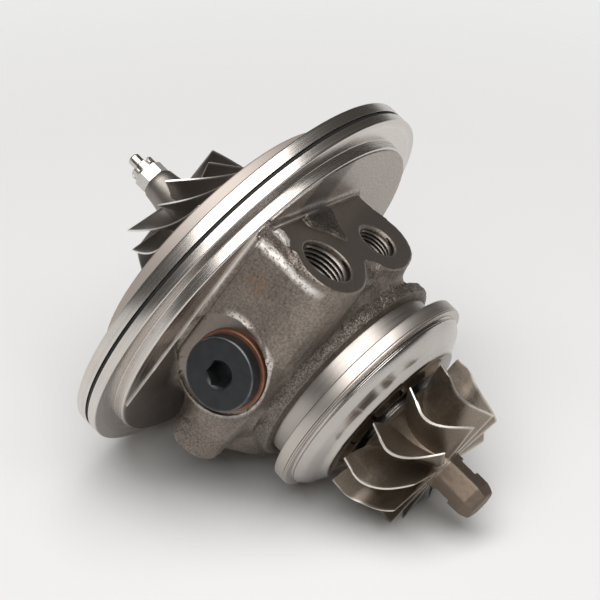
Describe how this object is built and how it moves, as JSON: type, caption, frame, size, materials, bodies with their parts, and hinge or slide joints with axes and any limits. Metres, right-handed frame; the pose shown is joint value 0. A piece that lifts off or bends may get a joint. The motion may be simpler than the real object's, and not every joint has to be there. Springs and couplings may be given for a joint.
{
  "type": "turbo cartridge",
  "caption": "Turbocharger centre cartridge: cast bearing housing with a round compressor flange, coolant and oil ports, and a rotor carrying a compressor wheel and a turbine wheel.",
  "frame": {"origin": "on the shaft axis, in the rear (turbine-side) face of the compressor flange disc", "axes": "+X along the shaft from the compressor to the turbine, +Z out of the milled port pad, -Y towards the plugged side port"},
  "size_m": [0.1286, 0.112, 0.112],
  "materials": {
    "housing_casting": "sand cast, machined on the flanges, neck and port pad",
    "seal_rubber": "matt",
    "black_oxide_steel": "black oxide",
    "copper_washer": "plain copper",
    "pressed_steel": "pressed sheet, satin",
    "spring_steel": "hardened, dark",
    "bearing_bronze": "turned",
    "turned_steel": "turned and ground",
    "turbine_alloy": "investment cast, heat tinted brown",
    "wheel_aluminium": "cast, satin",
    "plated_steel": "bright plated"
  },
  "bodies": {
    "housing": {"bearing_housing": "housing_casting", "flange_seal_ring": "seal_rubber", "port_plug": "black_oxide_steel", "plug_washer": "copper_washer", "heat_shield": "pressed_steel", "seal_plate": "wheel_aluminium", "seal_plate_o_ring": "seal_rubber", "seal_plate_snap_ring": "spring_steel", "oil_deflector": "pressed_steel", "thrust_bearing": "bearing_bronze", "bearing_snap_rings": "spring_steel", "compressor_piston_ring": "spring_steel", "turbine_piston_rings": "spring_steel"},
    "rotor": {"rotor_shaft": "turned_steel", "turbine_wheel": "turbine_alloy", "thrust_collar": "turned_steel", "oil_flinger": "turned_steel", "compressor_wheel": "wheel_aluminium", "lock_nut": "plated_steel"},
    "compressor_bearing": {"compressor_journal_bearing": "bearing_bronze"},
    "turbine_bearing": {"turbine_journal_bearing": "bearing_bronze"}
  },
  "joints": [
    {"name": "shaft_spin", "type": "hinge", "parent": "housing", "child": "rotor", "pos_m": [0, 0, 0], "axis": [1, 0, 0], "continuous": true},
    {"name": "compressor_bearing_spin", "type": "hinge", "parent": "housing", "child": "compressor_bearing", "pos_m": [0.0066, 0, 0], "axis": [1, 0, 0], "continuous": true},
    {"name": "turbine_bearing_spin", "type": "hinge", "parent": "housing", "child": "turbine_bearing", "pos_m": [0.0274, 0, 0], "axis": [1, 0, 0], "continuous": true}
  ]
}
